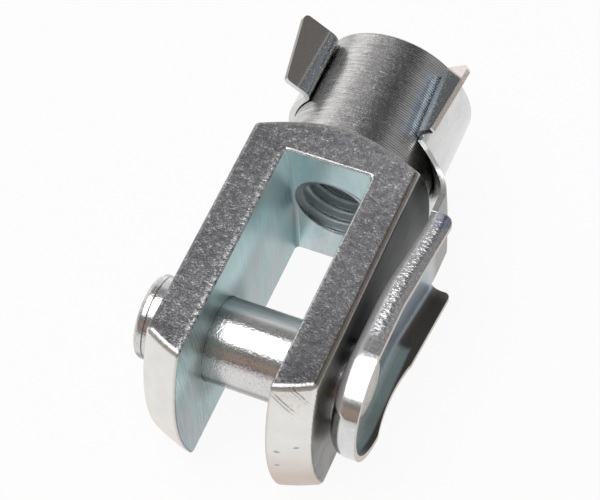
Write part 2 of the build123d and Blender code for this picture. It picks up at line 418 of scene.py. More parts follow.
@dataclass(frozen=True)
class DrawnFlats:
    """The bar's front and back flats.

    Attributes:
        sizes: The fork's sizes.
        drawn: Colour of the plate.
        frosted: Colour of its pale specks.
        rubbed_and_glinting: Colour of the worn margin along the slot.
        brownish: Colour of the painted highlight on the outer edge on the clip's side.
        bared: Colour of the slot's edges.
        brow: Colour of the painted highlight where the turned cone meets the flat.
        shine: Colour of the painted highlights on the ear crests and the slot's end burr.
    """

    sizes: ForkSizes
    drawn: Colour = (0.25, 0.245, 0.255)
    frosted: Colour = (0.85, 0.85, 0.86)
    rubbed_and_glinting: Colour = (0.7, 0.69, 0.68)
    brownish: Colour = (0.4, 0.36, 0.31)
    bared: Colour = (0.75, 0.74, 0.73)
    brow: Colour = (0.55, 0.54, 0.52)
    shine: Colour = (0.9, 0.89, 0.88)

    def light(self, spot: Spot, cluster: Signal) -> Signal:
        """How light the plate is: mottled, and lighter from the ear ends to the cone.

        Args:
            spot: Place and facing on the fork.
            cluster: Noise that gathers the mottle.

        Returns:
            Factor for the plate's colour.
        """
        mottle = spot.cloud.rise(0.3, 0.7) * 0.2 + cluster * 0.8 + spot.grain * 0.5 + 0.27
        along = spot.y.rise(-10.0, 20.0) * 0.42 + 0.56 + spot.y.rise(17.0, 22.0) * 0.22
        tip = 1.0 - spot.y.rise(-2.0, -6.0) * 0.18
        slope = spot.y.rise(-2.0, 6.0) * 0.023 + spot.y.rise(14.0, 20.0) * 0.02 - 0.015
        return mottle * along * tip * (spot.x * slope + 1.0)

    def edges(self, spot: Spot, colour: Paint) -> tuple[Paint, Signal]:
        """Rubs the flat's margins pale and paints highlights on the clip-side edge and the cone.

        Args:
            spot: Place and facing on the fork.
            colour: Colour of the plate.

        Returns:
            The colour with its worn margins and highlights, and where the slot's margin is worn.
        """
        sizes = self.sizes
        depth = sizes.slot_depth
        # The margin beside the slot, then the flat's rounded edges, then its end at the cone.
        away = spot.graph.high(spot.side - sizes.slot_half, spot.y - depth)
        rubbed_and_glinting = away.rise(1.0, 0.4) * (spot.x.rise(1.0, -1.0) * 0.7 + 0.3)
        rubbed_and_glinting = rubbed_and_glinting * spot.y.rise(depth - 0.2, depth - 0.8) * spot.ragged.rise(0.42, 0.6)
        tilted = abs(spot.nx).rise(0.04, 0.14)
        inner = tilted * spot.side.rise(6.5, 6.0) * spot.ragged.rise(0.3, 0.55)
        cone = sizes.shoulder - (spot.radius - sizes.neck_radius) * sizes.cone_fall - spot.y
        brow = spot.graph.high(spot.ny.rise(0.05, 0.2), cone.rise(0.6, 0.1))
        # Painted highlights on the outer edge on the clip's side and where the cone meets the
        # flat.
        worn = spot.graph.coats(
            colour,
            (self.rubbed_and_glinting, rubbed_and_glinting * 0.8),
            (self.brownish, tilted * spot.x.rise(8.5, 9.2) * 0.7),
            (self.bared, inner * 0.8),
            (self.brow, brow * (spot.ragged * 0.6 + 0.3)),
        )
        return worn, rubbed_and_glinting

    def skin(self, spot: Spot) -> Skin:
        """Mottled, frosted, worn at the margins, with painted highlights at the slot and ear
        ends.

        Args:
            spot: Place and facing on the fork.

        Returns:
            The skin of the flats.
        """
        graph = spot.graph
        half, depth = self.sizes.slot_half, self.sizes.slot_depth
        cluster = spot.noise(1.3, 1.3, 1.3, rough=0.6)
        specks = spot.frost.rise(0.46, 0.68) * cluster.rise(0.4, 0.66)
        specks = specks * (spot.x.rise(3.0, -3.0) * 0.25 + 0.5)
        colour = graph.blend(self.drawn, self.frosted, specks)
        colour = graph.shade(colour, self.light(spot, cluster))
        colour, rubbed_and_glinting = self.edges(spot, colour)
        # Painted highlights on the burr at the slot's closed end and where the ears' domes start.
        lip = (spot.y - depth).rise(0.34, 0.12) * spot.y.rise(depth - 0.1, depth + 0.05)
        lip = lip * spot.side.rise(half + 0.15, half - 0.05)
        lip = lip * spot.ragged.rise(0.3, 0.45)
        crest = spot.ny.rise(-0.08, -0.2) * (1.0 - spot.x.rise(0.0, 2.0) * 0.35)
        bright = graph.high(crest, lip)
        colour = graph.blend(colour, graph.shade(self.shine, spot.ragged * 0.7 + 0.45), bright)
        height = (spot.frost * 0.022 + spot.grain * 0.014) * (1.0 - bright * 0.5)
        height = height + rubbed_and_glinting * 0.01 - lip * 0.045
        return Skin(colour, spot.grain * 0.18 + 0.2, height)


@dataclass(frozen=True)
class MilledSlot:
    """The slot's two walls and its hollow bottom.

    Attributes:
        sizes: The fork's sizes.
        milled: Colour of the plate.
        rosy: Its other tint, in patches.
        pit: Colour of the small pits.
    """

    sizes: ForkSizes
    milled: Colour = (0.39, 0.51, 0.52)
    rosy: Colour = (0.5, 0.5, 0.51)
    pit: Colour = (0.2, 0.26, 0.26)

    def skin(self, spot: Spot) -> Skin:
        """Fine marks that follow the cutter's rim, tinted in patches, with a few pits.

        Args:
            spot: Place and facing on the fork.

        Returns:
            The skin of the slot.
        """
        graph = spot.graph
        # The cutter's rim, as a parabola that has the cutter's radius at its top.
        across = spot.y + spot.z * spot.z * (0.5 / self.sizes.cutter)
        fine = graph.point(across * 6.0, spot.x * 0.9, spot.z * 0.22)
        broad = graph.point(across * 1.1, spot.x * 0.6, spot.z * 0.06)
        marks = graph.noise(fine, detail=3.0, rough=0.65)
        streak = graph.noise(broad)
        pits = spot.ragged.rise(0.7, 0.78)
        rosy = spot.noise(0.25, 0.25, 0.25).rise(0.42, 0.6) * spot.z.rise(7.0, -3.0)
        # The walls, their tips, inner corners, the milled radius, and painted shade round the
        # pin.
        wall = abs(spot.nx).rise(0.6, 0.9)
        tip = spot.y.rise(-3.0, -6.0)
        ear = tip * spot.z.rise(2.0, 8.0)
        corner = spot.y.rise(10.5, 16.0) * spot.z.rise(-6.0, 4.0)
        round_corner = (abs(spot.nx) * abs(spot.ny)).rise(0.12, 0.35)
        from_pin = (spot.y * spot.y + spot.z * spot.z) ** 0.5
        darkened = from_pin.rise(8.0, 5.4) * (spot.grain * 0.4 + 0.2)
        # The marks show most near the tips.
        ribs = spot.y.rise(-3.0, -5.0) * 0.6
        gain = marks * (ribs + 0.55) + streak * 0.2 + 0.54 - ribs * 0.5
        # Painted light by the inner corners and towards the top face; painted shade round the
        # pin.
        gain = gain * (1.0 + wall * (corner + ear * 0.3 + spot.z.rise(2.0, 6.0) * 0.5 - darkened))
        gain = gain * (1.0 - wall * tip * 0.1)
        gain = gain * (1.0 + (1.0 - wall) * (spot.x.rise(-2.0, -4.5) * 0.1 + 0.12))
        gain = gain * (1.0 + round_corner * 0.1)
        colour = graph.shade(graph.blend(self.milled, self.rosy, rosy * 0.6), gain)
        colour = graph.blend(colour, self.pit, pits * 0.4)
        roughness = marks * 0.14 + wall * 0.1 + round_corner * 0.2 + 0.22
        metal = 1.0 - graph.high(corner * wall * 0.5, round_corner * 0.7)
        return Skin(colour, roughness, marks * 0.016 - pits * 0.02, metal)


@dataclass(frozen=True)
class DomedEnds:
    """The two ears' turned ends.

    Attributes:
        sizes: The fork's sizes.
        domed: Colour of the plate.
        warm: Colour of the painted warm reflection near the lower face.
        smeared: Colour of a faint smear among the scratches.
        scratched: Colour of scratches and flecks.
        pit: Colour of the small pits.
        rim: Colour along the ends' lower and inner edges.
        lean: Cosine and sine of the scratches' lean.
        scratches: Distance across them and half width of each.
        flecks: Place of each dark fleck along X and Z.
    """

    sizes: ForkSizes
    domed: Colour = (0.8, 0.785, 0.76)
    warm: Colour = (0.72, 0.55, 0.43)
    smeared: Colour = (0.55, 0.48, 0.42)
    scratched: Colour = (0.27, 0.24, 0.22)
    pit: Colour = (0.45, 0.41, 0.37)
    rim: Colour = (0.5, 0.42, 0.35)
    lean: tuple[float, float] = (0.685, 0.73)
    scratches: tuple[tuple[float, float], ...] = (
        (10.48, 0.05),
        (10.82, 0.07),
        (12.12, 0.03),
        (12.4, 0.08),
    )
    flecks: tuple[tuple[float, float], ...] = ((6.48, 1.1), (6.44, -1.7), (8.5, 1.9))

    def wear(self, spot: Spot, right: Signal) -> tuple[Signal, Signal]:
        """Scratches and flecks of the clip-side ear.

        Args:
            spot: Place and facing on the fork.
            right: 1 on that ear.

        Returns:
            Where it is scratched or flecked, and where it is smeared.
        """
        graph = spot.graph
        across = spot.x * self.lean[0] + spot.z * self.lean[1]
        along = spot.x * self.lean[1] - spot.z * self.lean[0]
        worn = right * along.rise(-3.0, -1.5) * along.rise(1.8, 0.2)
        wander = spot.noise(0.5, 0.5, 0.5) * 0.2 - 0.1
        marks: Signal | float = 0.0
        for place, half in self.scratches:
            marks = graph.high(marks, (across + wander).band(place, half=half * 0.4, soft=half))
        marks = marks * worn * spot.ragged.rise(0.25, 0.5)
        for x, z in self.flecks:
            far = (((spot.x - x) * 3.0) ** 2.0 + ((spot.z - z) * 5.0) ** 2.0) ** 0.5
            marks = graph.high(marks, (far + spot.ragged).rise(1.7, 1.1) * right)
        return marks, across.band(11.4, half=0.6, soft=0.5) * worn * spot.ragged.rise(0.4, 0.7)

    def skin(self, spot: Spot) -> Skin:
        """Smooth and pale, with a painted warm reflection low down, and worn marks on one ear.

        Args:
            spot: Place and facing on the fork.

        Returns:
            The skin of the ends.
        """
        graph = spot.graph
        inner = self.sizes.slot_half
        # The clip-side ear, the lower part of both, and their lower and inner edges.
        right = spot.x.rise(0.0, 1.0)
        low = spot.z.rise(3.0, -9.0)
        marks, smear = self.wear(spot, right)
        pits = spot.ragged.rise(0.72, 0.78) * spot.cloud.rise(0.5, 0.6)
        rim = graph.high(spot.side.rise(inner + 0.45, inner + 0.1), spot.z.rise(-8.9, -9.5))
        # Painted warm reflection low on both ends; painted shade low on the clip-side end.
        colour = graph.blend(self.domed, self.warm, low * (right * 0.5 + 0.45))
        colour = graph.coats(
            graph.shade(colour, (1.0 - right * low * 0.3) * (spot.cloud * 0.2 + 0.88)),
            (self.smeared, smear * 0.4),
            (self.scratched, marks * 0.75),
            (self.pit, pits * 0.5),
            (self.rim, rim * (spot.ragged * 0.8 + 0.2) * 0.8),
        )
        return Skin(colour, spot.grain * 0.1 + 0.24, spot.grain * 0.004 - marks * 0.015)


@dataclass(frozen=True)
class TurnedNeck:
    """The neck, the cone below it and the neck's end face.

    Attributes:
        turned: Colour of the plate.
        bluish: Colour of the painted reflection of the clip's near lip.
        feed: Rise per turn of the tool that turned the neck.
    """

    turned: Colour = (0.56, 0.55, 0.545)
    bluish: Colour = (0.6, 0.68, 0.77)
    feed: float = 0.3055

    def skin(self, spot: Spot) -> Skin:
        """A fine groove at each turn, patchy where the plate filled it.

        Args:
            spot: Place and facing on the fork.

        Returns:
            The skin of what was turned.
        """
        graph = spot.graph
        # One wave to each turn; it shows on the clip's side and in patches elsewhere.
        turn = 2.0 * math.pi / self.feed
        wave = graph.math(Operation.SINE, (spot.y + spot.cloud * 0.1) * turn)
        rings = spot.noise(0.35, 3.6, 0.35, detail=3.0, rough=0.65)
        patch = spot.noise(0.25, 0.35, 0.25)
        seen = spot.x.rise(1.5, 4.5) * 0.8 + patch.rise(0.45, 0.6) * 0.25
        bright = spot.x.rise(0.5, -2.5)
        dark = spot.x.band(3.2, half=0.4, soft=1.0)
        mottle = spot.frost.rise(0.45, 0.65) * spot.ragged.rise(0.4, 0.6)
        mottle = mottle * spot.x.band(0.5, half=2.5, soft=2.5)
        gain = spot.grain * 0.4 + rings * 0.75 + patch * 0.25 + wave * seen * 0.45 + 0.26
        gain = gain + (rings - 0.5) * bright * 0.6 + mottle * 0.5
        # Painted reflection: a darker band along the neck, 3.2 mm towards the clip.
        gain = gain * (1.0 - dark * 0.15)
        # Painted reflection of the clip's near lip: bluer beside it.
        blue = spot.x.rise(4.7, 5.4) * spot.nz.rise(0.55, 0.75)
        blue = blue * spot.y.rise(28.0, 29.5) * spot.y.rise(38.0, 37.4)
        colour = graph.shade(graph.blend(self.turned, self.bluish, blue * 0.9), gain)
        height = wave * 0.006 * seen + rings * 0.02 + spot.frost * 0.012 + spot.grain * 0.01
        return Skin(colour, spot.grain * 0.14 + 0.18, height)


@dataclass(frozen=True)
class OuterSides:
    """The bar's two side faces.

    Attributes:
        shaded: Colour of the face behind the clip.
        olive: Its tint towards the ear's end.
        bluish: Its tint in patches.
        lit: Colour of the other face, towards the pin's free end.
    """

    shaded: Colour = (0.064, 0.07, 0.069)
    olive: Colour = (0.21, 0.2, 0.18)
    bluish: Colour = (0.05, 0.075, 0.09)
    lit: Colour = DrawnFlats.drawn

    def skin(self, spot: Spot) -> Skin:
        """Drawn smooth along the bar, dark behind the clip.

        Args:
            spot: Place and facing on the fork.

        Returns:
            The skin of the side faces.
        """
        graph = spot.graph
        lines = spot.noise(1.0, 0.25, 4.0, detail=3.0, rough=0.6)
        colour = graph.coats(
            self.shaded,
            (self.olive, spot.y.rise(4.0, -6.0)),
            (self.bluish, spot.cloud.rise(0.4, 0.7) * 0.5),
            (self.lit, spot.x.rise(0.0, -1.0) * 0.85),
        )
        colour = graph.shade(colour, lines * 0.7 + 0.65)
        return Skin(colour, lines * 0.15 + 0.3, lines * 0.01 + spot.grain * 0.006)


@dataclass(frozen=True)
class ForkFinish(Finish):
    """Fork: drawn flats, milled slot, domed ends and turned neck.

    Attributes:
        sizes: The fork's sizes.
    """

    sizes: ForkSizes

    def skin(self, spot: Spot) -> Skin:
        """Lays each face's skin where the place and the facing say that face is.

        Args:
            spot: Place and facing on the fork.

        Returns:
            The skin of the whole fork.
        """
        sizes = self.sizes
        half, depth = sizes.slot_half, sizes.slot_depth
        # The bar below the neck, and on it the level faces, the slot, the ends and the sides.
        bar = spot.y.rise(sizes.shoulder - 0.5, sizes.shoulder - 0.8)
        level = abs(spot.nz).rise(0.3, 0.5)
        across = abs(spot.nx)
        within = spot.side.rise(half + 0.02, half - 0.02)
        walls = spot.side.rise(half + 0.3, half + 0.2) * across
        slot = spot.graph.high(within, walls.rise(0.6, 0.8))
        slot = slot * spot.y.rise(depth + 1.0, depth + 0.8) * (1.0 - level)
        end = spot.ny.rise(-0.4, -0.6) * spot.y.rise(-4.0, -6.0)
        side = spot.side.rise(sizes.half_bar - 0.3, sizes.half_bar - 0.1)
        side = side * across.rise(0.8, 0.95)
        skin = TurnedNeck().skin(spot)
        skin = skin.under(OuterSides().skin(spot), side * bar)
        skin = skin.under(DrawnFlats(sizes).skin(spot), level * bar)
        skin = skin.under(DomedEnds(sizes).skin(spot), end)
        return skin.under(MilledSlot(sizes).skin(spot), slot)


@dataclass(frozen=True)
class PinFinish(Finish):
    """Pin: ground and plated, bright, with fine marks round it.

    Attributes:
        ground: Colour of the bearing surface.
        dulled: Colour of its duller patches.
        sky: Colour of the painted highlight along its upper side.
        stained: Colour of the free end's stains.
        peened: Colour of the rivet head.
        free_end: Where the rounded rim of the free end starts.
        clip_face: Where the rivet head starts.
    """

    ground: Colour = (0.68, 0.67, 0.66)
    dulled: Colour = (0.4, 0.41, 0.41)
    sky: Colour = (1.0, 1.0, 1.0)
    stained: Colour = (0.4, 0.36, 0.33)
    peened: Colour = (0.44, 0.41, 0.38)
    free_end: float = -13.0
    clip_face: float = 11.8

    def skin(self, spot: Spot) -> Skin:
        """Bright between the ears, stained on the free end, matt on the rivet head.

        Args:
            spot: Place and facing on the pin.

        Returns:
            The skin of the whole pin.
        """
        graph = spot.graph
        rings = spot.noise(7.0, 0.3, 0.3, detail=3.0, rough=0.6)
        darkened = spot.frost.rise(0.5, 0.7) * spot.cloud.rise(0.35, 0.6)
        end = spot.x.rise(self.free_end, self.free_end - 0.5)
        head = spot.x.rise(self.clip_face - 0.2, self.clip_face + 0.2)
        # Painted shade: darker on the sides that face the slot's bottom and the ground.
        away = graph.high(spot.ny.rise(0.7, 0.85), spot.nz.rise(0.1, -0.1) * 1.9)
        # Painted highlight: a pale streak along the upper side.
        sky = spot.ny.band(0.45, half=0.14, soft=0.12) * spot.nz.rise(0.0, 0.3)
        stain = spot.noise(0.7, 0.7, 0.7).rise(0.5, 0.62) * end
        gain = (spot.grain * 0.3 + 0.82) * (1.0 - away * 0.3)
        peened = graph.shade(self.peened, spot.ragged * 0.6 + spot.cloud * 0.4 + 0.5)
        colour = graph.coats(
            graph.shade(graph.blend(self.ground, self.dulled, darkened * 0.6), gain),
            (self.sky, sky),
            (self.stained, stain * 0.4),
            (peened, head * 0.9),
        )
        height = rings * 0.008 + spot.frost * 0.018 + spot.grain * 0.018
        height = height + end * spot.ragged * 0.03
        roughness = spot.grain * 0.1 + 0.12 + graph.high(end, head) * 0.1
        roughness = roughness + spot.ny.rise(0.2, 0.5) * 0.2
        return Skin(colour, roughness, height)


@dataclass(frozen=True)
class RolledSheet:
    """The clip's sheet where nothing else shows.

    Attributes:
        rolled: Colour of the plate.
        brownish: Its tint in patches.
        strip: Colour of the strip between the tray and the foot.
    """

    rolled: Colour = (0.66, 0.67, 0.66)
    brownish: Colour = (0.62, 0.56, 0.47)
    strip: Colour = (0.31, 0.31, 0.29)

    def skin(self, spot: Spot) -> Skin:
        """Soft clouds and faint rolling lines, darker and rougher between tray and foot.

        Args:
            spot: Place and facing on the clip.

        Returns:
            The skin of the plain sheet.
        """
        graph = spot.graph
        rolling = spot.noise(1.2, 0.4, 4.0, detail=3.0, rough=0.6)
        strip = spot.y.rise(16.8, 20.4) * spot.y.rise(28.5, 23.0) * spot.nx.rise(0.5, 0.8)
        gain = spot.cloud * 0.3 + rolling * 0.2 + spot.grain * 0.12 + 0.7
        brown = spot.cloud.rise(0.58, 0.72) * 0.35
        colour = graph.shade(self.rolled, gain)
        colour = graph.coats(colour, (self.brownish, brown), (self.strip, strip))
        roughness = spot.grain * 0.14 + 0.16 + strip * 0.15
        return Skin(colour, roughness, rolling * 0.005 + spot.grain * 0.006)


@dataclass(frozen=True)
class FrontFlange:
    """The tray's front flange, its bend and its round end.

    Attributes:
        bent: Colour of the plate.
        rubbed_and_glinting: Colour of its specks and of the painted glints on its crest.
        bluish: Colour of the cold band round the end, which greys the room's brown reflection.
        brownish: Colour of the painted brown reflection in that band.
        violet: Colour at the corner of the open end.
        pale: Colour of the round end.
        crest: Middle of the crest with the painted glints.
        flat: Where the bend ends and the flat face starts.
        near: How deep into the bend its shading is opened gently; below that, steadily.
        gentle: How strongly it is opened there, over the square of the depth.
        steady: How strongly it is opened below.
    """

    bent: Colour = (0.57, 0.56, 0.57)
    rubbed_and_glinting: Colour = (0.85, 0.85, 0.86)
    bluish: Colour = (0.66, 0.86, 1.0)
    brownish: Colour = (0.65, 0.4, 0.27)
    violet: Colour = (0.36, 0.4, 0.62)
    pale: Colour = (0.7, 0.7, 0.69)
    crest: float = 12.35
    flat: float = 12.68
    near: float = 0.9
    gentle: float = 0.25
    steady: float = 0.4

    def opened(self, spot: Spot, across: Signal) -> Signal:
        """Broad relief that turns the shading only.

        It opens the bend towards the flat face, by a square and then a slope of the depth into
        the bend, and tips the round end.

        Args:
            spot: Place and facing on the clip.
            across: Place across the flange.

        Returns:
            The relief in millimetres.
        """
        graph = spot.graph
        depth = graph.high(self.flat - across, 0.0)
        upper = graph.low(depth, self.near)
        lower = graph.high(depth - self.near, 0.0)
        bend = upper * upper * self.gentle + lower * self.steady
        return bend - spot.y.rise(-7.0, -1.0)

    def skin(self, spot: Spot) -> Skin:
        """Grey, with painted glints across the crest and a smooth, pale round end.

        Args:
            spot: Place and facing on the clip.

        Returns:
            The skin of the front flange.
        """
        graph = spot.graph
        # Place across the flange, less the millimetre that it climbs by its open end.
        across = spot.x - spot.y.rise(8.0, 20.0)
        rough = spot.y.rise(1.5, 4.0)
        crest = across.band(self.crest, half=0.4, soft=0.65)
        dashes = spot.noise(1.6, 3.4, 1.6, rough=0.6)
        specks = spot.frost.rise(0.52, 0.68) * rough
        cold = spot.y.band(-5.3, half=1.0, soft=0.8)
        brown = cold * spot.x.rise(12.9, 12.4) * spot.ragged.rise(0.4, 0.52)
        violet = spot.y.rise(17.2, 18.4) * spot.x.rise(12.9, 13.5) * spot.ragged.rise(0.35, 0.6)
        gain = spot.grain * 0.5 + spot.ragged * 0.3 + spot.cloud * 0.3 + 0.6
        # Painted glints on the crest, and a painted brown reflection in the band towards the
        # fork.
        colour = graph.coats(
            graph.shade(graph.blend(self.bent, self.rubbed_and_glinting, specks * 0.45), gain),
            (self.rubbed_and_glinting, crest * rough * dashes.rise(0.5, 0.6) * 0.8),
            (self.bluish, cold),
            (self.brownish, brown * 0.9),
            (self.violet, violet * 0.8),
            (self.pale, spot.y.rise(-3.0, -5.0)),
        )
        height = dashes * rough * (crest * 0.07 + 0.012) + spot.frost * 0.01 * rough
        height = height + spot.grain * 0.006 + self.opened(spot, across)
        return Skin(colour, spot.grain * 0.12 + 0.14, height, 1.0 - across.rise(12.3, 11.7) * 0.6)


@dataclass(frozen=True)
class TrayHollow:
    """The inside of the tray.

    Attributes:
        dish: Colour of the plate.
        floor: Colour of the web past the rivet, lighter as a painted highlight.
        shadow: Colour of the back flange's open end and free edge.
    """

    dish: Colour = (0.45, 0.57, 0.56)
    floor: Colour = (0.5, 0.6, 0.66)
    shadow: Colour = (0.12, 0.108, 0.1)

    def skin(self, spot: Spot) -> Skin:
        """Blue-green and matt, dark on the back flange's open end.

        Args:
            spot: Place and facing on the clip.

        Returns:
            The skin of the tray's inside.
        """
        graph = spot.graph
        drawn = spot.noise(0.5, 1.6, 0.5)
        # The back flange past the dip and along its free edge, then the web past the rivet.
        rim = spot.x.rise(13.1, 13.5) * spot.y.rise(-7.0, -3.0)
        dark = graph.high(spot.y.rise(9.4, 10.4), rim) * spot.nz.rise(0.45, 0.8)
        # Painted highlight on the web past the rivet.
        climb = spot.nx.rise(0.5, 0.8) * spot.y.rise(2.0, 8.0)
        colour = graph.blend(self.dish, self.floor, climb)
        colour = graph.shade(colour, drawn * 0.25 + spot.cloud * 0.25 + 0.75)
        colour = graph.blend(colour, self.shadow, dark)
        return Skin(colour, drawn * 0.1 + 0.32, drawn * 0.004, 0.4)


@dataclass(frozen=True)
class CollarLips:
    """The two lips, which turn out from the collar's arms.

    Attributes:
        thumb: Colour of the lip on the far arm.
        narrow: Colour of the lip on the strip's side, painted dark as shade.
        line: Colour of a painted highlight along the far lip's bend.
        bluish: Colour of both bends.
        frosted: Colour of the specks.
        root: Colour where the bends leave the arms.
        cut: Colour of the near lip's cut edge.
        tip: Colour of that lip's upper corner.
    """

    thumb: Colour = (0.33, 0.31, 0.29)
    narrow: Colour = (0.085, 0.093, 0.095)
    line: Colour = (0.62, 0.61, 0.58)
    bluish: Colour = (0.36, 0.42, 0.48)
    frosted: Colour = (0.72, 0.75, 0.78)
    root: Colour = (0.5, 0.68, 0.8)
    cut: Colour = (0.68, 0.62, 0.56)
    tip: Colour = (0.85, 0.78, 0.75)

    def skin(self, spot: Spot) -> Skin:
        """Even grey, blue-grey and frosted at the bends; the near lip has a pale tip.

        Args:
            spot: Place and facing on the clip.

        Returns:
            The skin of both lips.
        """
        graph = spot.graph
        # The lip on the strip's side, then zones by their distance from the rod's axis.
        near = spot.x.rise(0.0, 1.0)
        bend = spot.radius.rise(11.3, 10.5)
        root = spot.radius.rise(10.4, 10.1)
        # Painted highlight along the far lip's bend.
        line = spot.radius.band(11.35, half=0.06, soft=0.12) * (1.0 - near)
        cut = spot.nx.rise(0.3, 0.5) * near
        specks = spot.frost.rise(0.52, 0.68) * spot.radius.rise(12.4, 10.8) * (1.0 - cut)
        tip = (spot.y + spot.x * 0.8).rise(43.7, 44.2)
        # The near lip is painted dark as shade.
        colour = graph.blend(self.thumb, self.narrow, near)
        colour = graph.coats(
            graph.shade(colour, spot.grain * 0.4 + 0.8),
            (self.line, line * 0.8),
            (self.bluish, bend * 0.8),
            (self.frosted, specks * (0.6 - near * 0.3)),
            (self.root, root * (0.8 - near * 0.2)),
            (self.cut, cut),
            (self.tip, tip * 0.9),
        )
        height = spot.grain * 0.012 + specks * (0.02 - near * bend * 0.015)
        return Skin(colour, spot.grain * 0.12 + 0.2, height, 1.0 - bend * near * 0.6)


@dataclass(frozen=True)
class ClipFinish(Finish):
    """Clip: rolled sheet, stretched and sparkling along its front bend.

    Attributes:
        sheared: Colour of the tray's cut edges.
        tray_end: Pin axis to the tray's open end.
        web: Outer face of the tray's web.
        rim: Where the flanges' free edges start.
        collar: Pin axis to the start of the collar.
    """

    sheared: Colour = (0.55, 0.47, 0.4)
    tray_end: float = 20.0
    web: float = 11.4
    rim: float = 13.3
    collar: float = 28.0

    def skin(self, spot: Spot) -> Skin:
        """Lays each part's skin where the place and the facing say that part is.

        Args:
            spot: Place and facing on the clip.

        Returns:
            The skin of the whole clip.
        """
        graph = spot.graph
        # The tray's front flange, its inside by web and back flange, the lips, the cut edges.
        tray = spot.y.rise(self.tray_end + 0.6, self.tray_end)
        front = tray * spot.z.rise(4.2, 4.8) * spot.nz.rise(0.02, 0.1)
        web = spot.x.rise(self.web - 0.1, self.web + 0.1) * spot.nx.rise(0.2, 0.5)
        back = spot.x.rise(self.web, self.web + 0.3) * spot.nz.rise(0.1, 0.4)
        back = back * spot.z.rise(0.0, -3.0)
        inside = graph.high(web, back) * spot.y.rise(20.4, 16.8)
        lips = spot.y.rise(self.collar + 1.0, self.collar + 1.4) * spot.radius.rise(9.95, 10.2)
        lips = lips * spot.z.rise(5.4, 6.2) * spot.nz.rise(0.35, 0.5)
        edge = tray * spot.x.rise(self.rim - 0.15, self.rim) * spot.nx.rise(0.6, 0.8)
        skin = RolledSheet().skin(spot)
        skin = skin.under(CollarLips().skin(spot), lips)
        skin = skin.under(FrontFlange().skin(spot), front)
        skin = skin.under(TrayHollow().skin(spot), inside)
        return skin.under(Skin(self.sheared, 0.35, spot.grain * 0.01), edge)


@dataclass(frozen=True)
class ThreadFinish(Finish):
    """Thread: cut steel, pale on the crests, with painted shade where it runs out into the slot.

    Attributes:
        sizes: The fork's sizes.
        groove: Colour in the grooves.
        ridge: Colour of the crests.
        flank: Colour of the painted shade on the first flank, at the slot.
    """

    sizes: ForkSizes
    groove: Colour = (0.62, 0.68, 0.7)
    ridge: Colour = (0.85, 0.92, 0.9)
    flank: Colour = (0.09, 0.115, 0.12)

    def skin(self, spot: Spot) -> Skin:
        """Pale crests over grey grooves.

        Args:
            spot: Place and facing on the thread.

        Returns:
            The skin of the thread.
        """
        graph = spot.graph
        crest = self.sizes.thread_crest
        # The crests, and the painted shade on the flank that runs out into the slot.
        top = spot.radius.rise(crest + 0.25, crest + 0.02)
        mouth = spot.y.rise(21.9, 20.9) * spot.ny.rise(-0.2, -0.5) * spot.x.rise(-0.5, -3.5)
        colour = graph.blend(self.groove, self.ridge, top)
        colour = graph.shade(colour, spot.grain * 0.5 + 0.75)
        colour = graph.blend(colour, self.flank, mouth * 0.9)
        return Skin(colour, spot.grain * 0.15 + 0.34, spot.grain * 0.01, 0.5)


@dataclass(frozen=True)
class SolidPiece:
    """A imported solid, which keeps its mesh and gets its finish.

    Attributes:
        node: Name of the solid's node.
        finish: How it looks.
    """

    node: str
    finish: Finish

    def dress(self) -> None:
        """Puts the finish on the solid, in place of what it came with."""
        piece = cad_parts[self.node]
        piece.data.materials.clear()
        piece.data.materials.append(self.finish.make())
        LOG.info("%s: %s", self.node, self.finish.name)


